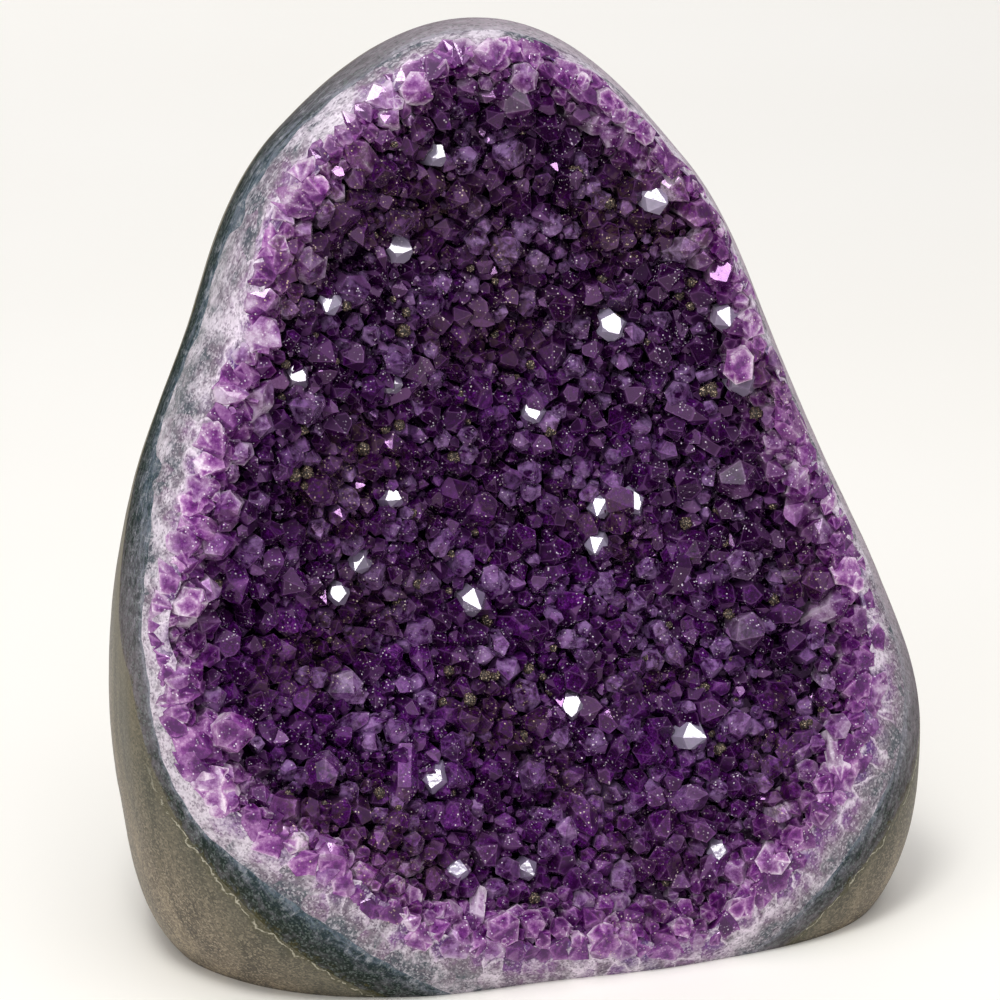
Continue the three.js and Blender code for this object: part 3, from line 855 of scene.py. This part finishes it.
dice = random.Random(41)
habits = [quartz_point(dice) for _ in range(HABITS)]
crust_material = amethyst_material("amethyst_crust", darkness=0.5, staining=0.9, from_glow=0.8,
                                   gloss="#f0b8fa")
floor_of_crust = crust_floor_piece()
floor_of_crust.data.materials.append(crust_material)
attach(floor_of_crust, "root")
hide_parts("druse_crust")

patches = {}
for x, up, radius, inside in scatter_crystals(dice):
    crystal = crystal_here(x, up, radius, inside, dice)
    patch = int((x - PATCH_LEFT) // PATCH_WIDTH), int((up - PATCH_FOOT) // PATCH_HEIGHT)
    patches.setdefault(patch, []).append(crystal)
for (column, row), crystals in sorted(patches.items()):
    cluster = crystal_cluster(f"points_{column}_{row}", crystals, habits, column * 10 + row)
    cluster.data.materials.append(crust_material)
    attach(cluster, "root")
    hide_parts("druse_crust")

# ---------------------------------------- the pale crystals at the rim
# Where the crust meets the quartz the crystals are larger, cloudy and pale, because little
# colour reached them. They stand out of the quartz, lean in over the hollow, and those that
# stood proud were ground off with the rim.

# The largest of them: place on the face, radius, cloudiness.
LARGE_AT_RIM = [(-42, -16, 3.4, 1.0), (-31, 48.5, 2.9, 0.75), (-37, 33, 2.3, 0.6), (-42, 19, 2.2, 0.5),
                (-43.5, 7, 2.3, 0.9), (-39.5, -9, 2.6, 0.3), (27, -33, 2.5, 0.9), (-36.5, -23, 2.7, 0.6),
                (-29, -26, 2.5, 0.4), (5, -40.5, 2.4, 0.7), (27, 28.5, 2.5, 0.7), (39.5, 1.5, 2.3, 0.8),
                (-25, 54.5, 2.4, 0.6), (38, -22, 2.4, 0.5), (40, -13, 2.3, 0.4), (-8, -37.5, 2.4, 0.5)]
# The others stand in two rows, the second further in: smallest and largest radius, paleness.
RIM_ROWS = [(1.4, 2.8, 0.9), (1.0, 2.2, 0.7)]
# How pale they are, from the right-hand side over the top, every sixteenth of a turn.
RIM_PALENESS = [0.95, 0.9, 1.1, 1.1, 0.95, 0.9, 0.75, 0.95, 1.2, 1.2, 0.95, 0.9, 0.6, 0.6, 0.75, 0.65]


def rim_crystals(dice):
    made = []
    for x, up, radius, tone in LARGE_AT_RIM:
        angle, away = math.atan2(up, x), math.hypot(x, up)
        rim = float(front_depth(away / outline_radius(angle), angle))
        made.append({
            "habit": dice.randrange(HABITS),
            "stand": stand(x, up, rim + radius * 0.25, radius, radius, dice.uniform(0.1, 0.45),
                           angle + math.pi + dice.gauss(0, 0.5), dice.uniform(0, 2 * math.pi)),
            "tone": tone, "glow": 1.0, "place": (x, up),
        })
    for row, (low, high, glow) in enumerate(RIM_ROWS):
        angle = row * 0.05
        while angle < 2 * math.pi + row * 0.05:
            radius = dice.uniform(low, high)
            edge = float(hollow_radius(angle))
            away = dice.uniform(-0.6, 1.5) - row * 2.4
            x, up = (edge + away) * math.cos(angle), (edge + away) * math.sin(angle)
            rim = float(front_depth((edge + away) / outline_radius(angle), angle))
            depth = rim + radius * 0.35 + row * 1.7 - min(away, 0) * 0.3 + dice.uniform(-0.6, 0.8)
            made.append({
                "habit": dice.randrange(HABITS),
                "stand": stand(x, up, depth, radius, radius * dice.uniform(0.9, 1.2), dice.uniform(0.1, 0.9),
                               angle + math.pi + dice.gauss(0, 0.4), dice.uniform(0, 2 * math.pi)),
                "tone": dice.random(),
                "glow": glow * dice.uniform(0.35, 1.15) * float(around(RIM_PALENESS, angle)),
                "place": (x, up),
            })
            angle += radius * 1.1 / edge
    return made


# Just under ten parts, so that a full turn stays in the last of them.
RIM_PARTS = 9.999
rim_material = amethyst_material("pale_amethyst", darkness=0.1, paleness=0.26, staining=0.2,
                                 from_glow=0.7, gloss="#f8d8ff")
groups = {}
for crystal in rim_crystals(dice):
    x, up = crystal["place"]
    groups.setdefault(int((math.atan2(up, x) + math.pi) / (2 * math.pi) * RIM_PARTS), []).append(crystal)
for number, crystals in sorted(groups.items()):
    fringe = crystal_cluster(f"rim_points_{number}", crystals, habits, 500 + number)
    fringe.data.materials.append(rim_material)
    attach(fringe, "root")
    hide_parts("druse_crust")

# ---------------------------------------- the grains of iron ore
# Small round grains of goethite grew on the crystals last. They are brown, granular and
# a millimetre or so across, with a golden glitter that is painted into their colour as pale specks.


def ore_material():
    material, board, shader = new_material("glittering_goethite")
    place = board.solid_place()
    lumps = board.cells(place, 3600)
    colour = board.ramp(lumps, [(0.05, "#75604d"), (0.3, "#47352a"), (0.6, "#1c120e")])
    # Painted highlight: pale golden specks stand in for glints.
    painted_glint = board.span(board.grain(place, 5200, 2), 0.6, 0.68)
    board.coat(shader, board.mix(painted_glint, colour, "#dcc6a8"), board.span(lumps, 0.0, 0.5, 0.3, 0.6),
               board.relief(lumps, 0.00012, 0.8))
    return material


def ore_grains(dice, count):
    ball = bmesh.new()
    bmesh.ops.create_icosphere(ball, subdivisions=3, radius=1)
    shape = np.array([v.co[:] for v in ball.verts])
    sides = [tuple(v.index for v in f.verts) for f in ball.faces]
    ball.free()
    points, faces = [], []
    while len(points) < count:
        x, up = dice.uniform(-44, 46), dice.uniform(-46, 64)
        if room_inside(x, up) < 4:
            continue
        if noise.noise(Vector((x * 0.06, up * 0.06, 9.0))) < dice.uniform(-0.4, 0.3):
            continue
        radius = dice.uniform(0.35, 0.85)
        lump = np.array([noise.noise(Vector(p) * 2.4 + Vector((x, up, 0))) for p in shape])
        size = radius * (1 + 0.45 * lump)
        depth = float(hollow_floor(x, up)) - CRUST - 1.1 - swell_at(x, up)
        faces.extend(tuple(len(shape) * len(points) + i for i in side) for side in sides)
        points.append(from_face(x, up, depth - dice.uniform(0, 0.9)) + shape * size[:, None])
    mesh = bpy.data.meshes.new("ore_grains")
    mesh.from_pydata((np.vstack(points) * MM).tolist(), [], faces)
    mesh.polygons.foreach_set("use_smooth", [True] * len(mesh.polygons))
    return into_scene("ore_grains", mesh)


grains = ore_grains(dice, count=110)
grains.data.materials.append(ore_material())
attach(grains, "root")
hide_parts("druse_crust")

# ---------------------------------------- the larger single crystals
# A few dozen crystals outgrew the crust. Each is its own six-sided point, a little clearer
# than the crust round it. Most turn one large face to the lamp, so that it shines.

# Half way between the small bright lamp and the main view.
TO_THE_SHINE = np.array([-0.29, -0.695, 0.657])


def stand_shining(x, up, depth, radius, swing):
    """Stands a crystal so that its first tip face looks half way between lamp and viewer."""
    shine = TO_THE_SHINE / np.linalg.norm(TO_THE_SHINE)
    outward = -INWARD - np.dot(-INWARD, shine) * shine
    outward /= np.linalg.norm(outward)
    across = np.cross(shine, outward)
    lean = outward * math.cos(swing) + across * math.sin(swing)
    axis = shine * math.cos(FACE_SLOPE) + lean * math.sin(FACE_SLOPE)
    first = (shine - axis * math.cos(FACE_SLOPE)) / math.sin(FACE_SLOPE)
    return from_face(x, up, depth), np.stack([first, np.cross(axis, first), axis]) * radius


# The ones that don't shine, and how cloudy each is.
CLOUDY = {"crystal_02": 0.45, "crystal_10": 0.9, "crystal_15": 0.5, "crystal_16": 0.3, "crystal_17": 0.85,
          "crystal_18": 0.7, "crystal_24": 0.6, "crystal_25": 0.55, "crystal_26": 0.8}
SHORT_ROOT = -1.1
big_habits = [quartz_point(dice, ((1.1, 1.5), (0.95, 1.03))[n % 2], 0.04) for n in range(8)]
for shape, *_ in big_habits:
    shape[:, 2] = np.maximum(shape[:, 2], SHORT_ROOT)
shining_material = amethyst_material("clear_amethyst", paleness=0.06, polish=0.08, clear="#a49db2")
cloudy_material = amethyst_material("cloudy_amethyst", paleness=0.12, polish=0.2)
for number, node_name in enumerate(sorted(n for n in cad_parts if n.startswith("crystal_"))):
    low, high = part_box(node_name)
    middle = (np.array(low) + np.array(high)) / 2 / MM
    x, up, depth = (float(v) for v in to_face(middle))
    radius = min(high[0] - low[0], high[2] - low[2]) / MM * 0.47
    depth -= 0.4 + radius * 0.1
    if node_name in CLOUDY:
        finish, tone = cloudy_material, CLOUDY[node_name]
        placed = stand(x, up, depth, radius, radius, dice.uniform(0.1, 0.5),
                       dice.uniform(0, 2 * math.pi), dice.uniform(0, 2 * math.pi))
    else:
        finish, tone = shining_material, dice.random()
        placed = stand_shining(x, up, depth, radius, dice.uniform(-0.9, 0.9))
    crystal = {"habit": number % len(big_habits), "stand": placed, "tone": tone,
               "glow": max(0.0, 1 - room_inside(x, up) / 9)}
    single = crystal_cluster("single_" + node_name, [crystal], big_habits, number)
    single.data.materials.append(finish)
    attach(single, "root")
    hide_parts(node_name)

# The forms that only cut the shells go.
for tool in (stone, block, agate_bowl, quartz_bowl, hollow):
    bpy.data.objects.remove(tool, do_unlink=True)

# ---------------------------------------- the studio
# The stone stands on a wide white paper floor under a broad soft light from above and in front.
# A small bright lamp makes the facets flash, two panels fill the sides, and one lamp behind the
# stone lights only the floor.


def paper_floor():
    mesh = bpy.data.meshes.new("white_floor")
    mesh.from_pydata([(-6, -6, 0), (6, -6, 0), (6, 6, 0), (-6, 6, 0)], [], [(0, 1, 2, 3)])
    material, board, shader = new_material("white_paper")
    cloud = board.grain(board.solid_place(), 8, 2)
    board.feed(shader.inputs["Base Color"], board.mix(cloud, "#fbf8ef", "#fffdf6"))
    shader.inputs["Roughness"].default_value = 0.6
    mesh.materials.append(material)
    into_scene("white_floor", mesh)


def lamp(name, place, aim, size, power):
    data = bpy.data.lights.new(name, "AREA")
    data.shape = "RECTANGLE"
    data.size, data.size_y = size
    data.energy = power
    light = into_scene(name, data)
    light.location = place
    light.rotation_euler = (Vector(aim) - Vector(place)).to_track_quat("-Z", "Y").to_euler()
    return data


paper_floor()
stone_middle = (0, 0, 0.055)
lamp("broad_top", (-0.1, -0.25, 0.75), stone_middle, (0.7, 0.7), 2.3)
lamp("shine", (-0.2, -0.32, 0.75), stone_middle, (0.18, 0.18), 2.3)
lamp("left_panel", (-0.7, -0.35, 0.3), stone_middle, (0.35, 0.6), 1.0)
lamp("right_panel", (0.7, -0.4, 0.35), stone_middle, (0.3, 0.5), 0.35)
wash = lamp("floor_wash", (0, 0.8, 0.9), (0, 0.8, 0), (1.4, 0.5), 1.2)
wash.spread = math.radians(70)

world = bpy.data.worlds.new("studio_air")
world.use_nodes = True
air = world.node_tree.nodes["Background"].inputs
air["Color"].default_value = paint("#fbfaff")
air["Strength"].default_value = 0.56
bpy.context.scene.world = world
bpy.context.scene.view_settings.view_transform = "Standard"

AZIMUTH, ELEVATION, DISTANCE, LENS = math.radians(-18), math.radians(20), 0.6, 173.3
to_camera = Vector((math.sin(AZIMUTH) * math.cos(ELEVATION), -math.cos(AZIMUTH) * math.cos(ELEVATION),
                    math.sin(ELEVATION)))
camera_data = bpy.data.cameras.new("camera")
camera_data.lens = LENS
camera_data.clip_start = 0.01
camera = into_scene("camera", camera_data)
target = Vector((0.00004, -0.00163, 0.05378))
camera.location = target + to_camera * DISTANCE
camera.rotation_euler = (-to_camera).to_track_quat("-Z", "Y").to_euler()
bpy.context.scene.camera = camera
